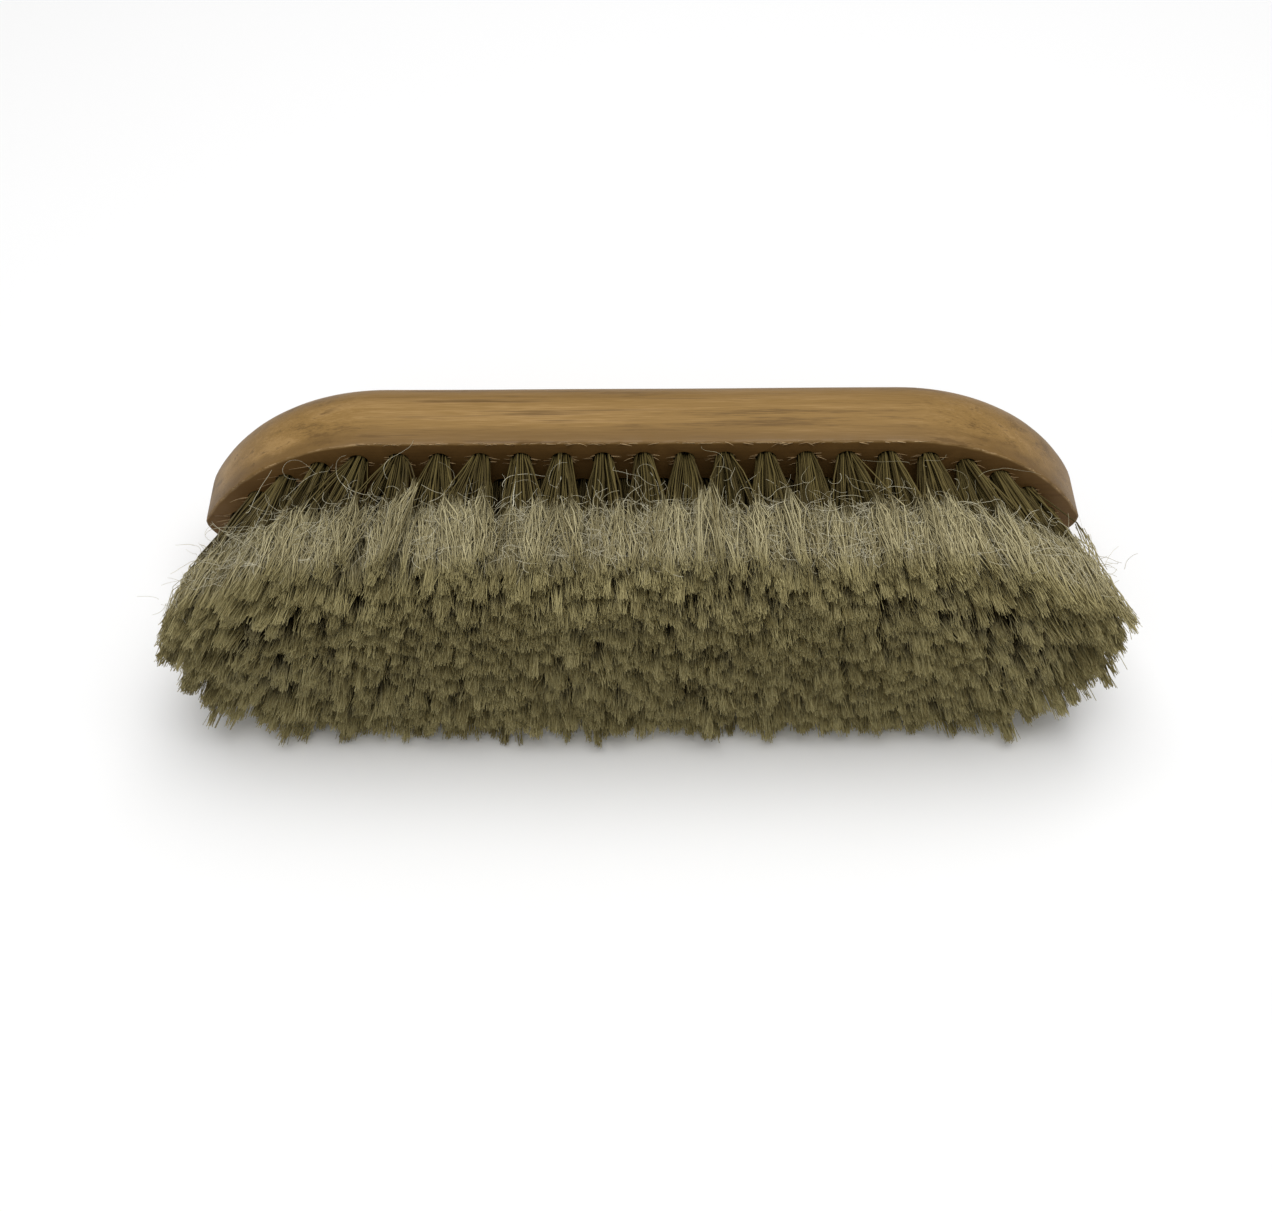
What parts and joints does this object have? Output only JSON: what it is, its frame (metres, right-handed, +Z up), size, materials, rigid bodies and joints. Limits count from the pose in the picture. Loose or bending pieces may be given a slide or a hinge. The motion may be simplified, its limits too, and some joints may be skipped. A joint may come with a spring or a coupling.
{
  "type": "neck duster brush",
  "caption": "Block brush for dusting hair off the neck: a long oval wooden block, hand-held, its face filled with tufts of long, soft, split-end bristle.",
  "frame": {"origin": "middle of the footprint, on the surface that the brush lies on with its long side down", "axes": "+X along the brush, +Y from the bristle tips towards the block's back, +Z up across the block's width"},
  "size_m": [0.183, 0.0574, 0.0522],
  "materials": {
    "wood": "thin satin lacquer over fine lengthwise grain, dry at the worn edges",
    "bristle": "matt natural bristle, olive brown at the roots and pale beige where the ends are split"
  },
  "bodies": {
    "root": {"wood_block": "wood", "ring_tuft_01": "bristle", "ring_tuft_02": "bristle", "ring_tuft_03": "bristle", "ring_tuft_04": "bristle", "ring_tuft_05": "bristle", "ring_tuft_06": "bristle", "ring_tuft_07": "bristle", "ring_tuft_08": "bristle", "ring_tuft_09": "bristle", "ring_tuft_10": "bristle", "ring_tuft_11": "bristle", "ring_tuft_12": "bristle", "ring_tuft_13": "bristle", "ring_tuft_14": "bristle", "ring_tuft_15": "bristle", "ring_tuft_16": "bristle", "ring_tuft_17": "bristle", "ring_tuft_18": "bristle", "ring_tuft_19": "bristle", "ring_tuft_20": "bristle", "ring_tuft_21": "bristle", "ring_tuft_22": "bristle", "ring_tuft_23": "bristle", "ring_tuft_24": "bristle", "ring_tuft_25": "bristle", "ring_tuft_26": "bristle", "ring_tuft_27": "bristle", "ring_tuft_28": "bristle", "ring_tuft_29": "bristle", "ring_tuft_30": "bristle", "ring_tuft_31": "bristle", "ring_tuft_32": "bristle", "ring_tuft_33": "bristle", "ring_tuft_34": "bristle", "ring_tuft_35": "bristle", "ring_tuft_36": "bristle", "ring_tuft_37": "bristle", "ring_tuft_38": "bristle", "ring_tuft_39": "bristle", "ring_tuft_40": "bristle", "ring_tuft_41": "bristle", "ring_tuft_42": "bristle", "ring_tuft_43": "bristle", "ring_tuft_44": "bristle", "ring_tuft_45": "bristle", "row_1_bunch_1": "bristle", "row_1_bunch_2": "bristle", "row_1_bunch_3": "bristle", "row_2_bunch_1": "bristle", "row_2_bunch_2": "bristle", "row_2_bunch_3": "bristle", "row_2_bunch_4": "bristle", "row_3_bunch_1": "bristle", "row_3_bunch_2": "bristle", "row_3_bunch_3": "bristle", "row_3_bunch_4": "bristle", "row_4_bunch_1": "bristle", "row_4_bunch_2": "bristle", "row_4_bunch_3": "bristle"}
  },
  "joints": []
}
